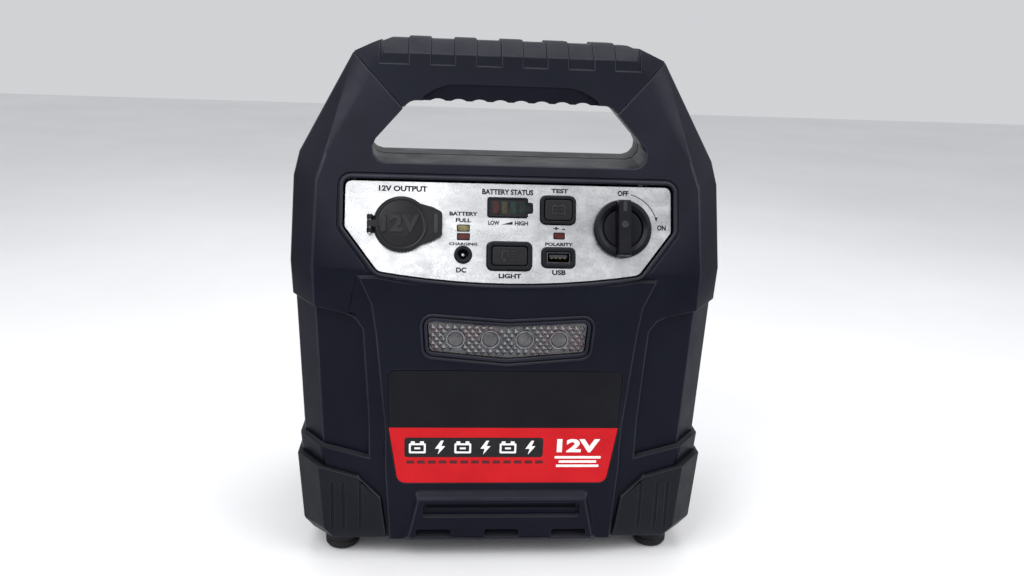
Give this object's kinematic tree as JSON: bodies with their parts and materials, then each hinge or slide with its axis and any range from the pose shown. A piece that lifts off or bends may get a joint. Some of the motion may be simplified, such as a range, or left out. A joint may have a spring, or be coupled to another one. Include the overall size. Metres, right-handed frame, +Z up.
{
  "type": "jump starter pack",
  "caption": "Portable jump starter pack with a fixed ribbed handle, leaning control panel, covered power outlet, rotary battery switch, USB port, front work light and rubber feet.",
  "frame": {"origin": "on the floor under the middle of the pack's bounding box, between its four feet", "axes": "+Z up; -Y is the front, where the panel, lamp and label are; +X is to the right as seen from the front"},
  "size_m": [0.2408, 0.15, 0.2985],
  "materials": {
    "case_plastic": "satin",
    "grip_plastic": "satin",
    "guard_plastic": "matte",
    "foot_rubber": "matte",
    "panel_plate": "satin",
    "cap_rubber": "satin",
    "button_rubber": "satin",
    "black_plastic": "satin",
    "inner_plastic": "matte",
    "smoked_window": "gloss",
    "steel": "satin",
    "brass": "satin",
    "led_red": "gloss",
    "led_amber": "gloss",
    "led_green": "gloss",
    "led_white": "gloss",
    "circuit_board": "satin",
    "lens_clear": "gloss",
    "reflector_chrome": "gloss",
    "label_print": "satin",
    "battery_case": "matte",
    "lead_red": "satin",
    "lead_black": "satin"
  },
  "bodies": {
    "case": {"front_shell": "case_plastic", "rear_shell": "case_plastic", "handle_grip": "grip_plastic", "corner_guard_front_left": "guard_plastic", "corner_guard_front_right": "guard_plastic", "corner_guard_rear_left": "guard_plastic", "corner_guard_rear_right": "guard_plastic", "foot_front_left": "foot_rubber", "foot_front_right": "foot_rubber", "foot_rear_left": "foot_rubber", "foot_rear_right": "foot_rubber", "control_panel": "panel_plate", "cap_hinge_pin": "steel", "socket_barrel": "black_plastic", "socket_nut": "steel", "socket_contact": "brass", "switch_body": "inner_plastic", "switch_nut": "steel", "test_bezel": "black_plastic", "light_bezel": "black_plastic", "usb_bezel": "black_plastic", "usb_port": "steel", "dc_jack": "black_plastic", "status_window": "smoked_window", "status_bar_1": "led_red", "status_bar_2": "led_amber", "status_bar_3": "led_green", "status_bar_4": "led_green", "maintain_led": "led_green", "charge_led": "led_red", "reverse_led": "led_red", "control_board": "circuit_board", "test_switch": "inner_plastic", "light_switch": "inner_plastic", "lamp_lens": "lens_clear", "lamp_reflector": "reflector_chrome", "lamp_led_1": "led_white", "lamp_led_2": "led_white", "lamp_led_3": "led_white", "lamp_led_4": "led_white", "lamp_board": "circuit_board", "front_label": "label_print", "battery": "battery_case", "battery_positive": "brass", "battery_negative": "brass", "battery_strap": "steel", "battery_cable": "lead_red", "switch_lead": "lead_red", "negative_lead": "lead_black", "lead_gland_positive": "foot_rubber", "lead_gland_negative": "foot_rubber", "shell_screw_1": "steel", "shell_screw_2": "steel", "shell_screw_3": "steel", "shell_screw_4": "steel"},
    "cap": {"socket_cap": "cap_rubber"},
    "knob": {"power_knob": "black_plastic", "switch_shaft": "steel"},
    "test_key": {"test_button": "button_rubber"},
    "light_key": {"light_button": "button_rubber"}
  },
  "joints": [
    {"name": "cap_hinge", "type": "hinge", "parent": "case", "child": "cap", "pos_m": [-0.0765, -0.06287, 0.20039], "axis": [0, -0.342, -0.9397], "range_deg": [0, 150]},
    {"name": "knob_turn", "type": "hinge", "parent": "case", "child": "knob", "pos_m": [0.0625, -0.05949, 0.19915], "axis": [0, 0.9397, -0.342], "range_deg": [0, 90]},
    {"name": "test_press", "type": "slide", "parent": "case", "child": "test_key", "axis": [0, 0.9397, -0.342], "range_m": [0, 0.0012], "stiffness_N_per_m": 600},
    {"name": "light_press", "type": "slide", "parent": "case", "child": "light_key", "axis": [0, 0.9397, -0.342], "range_m": [0, 0.0015], "stiffness_N_per_m": 600}
  ]
}
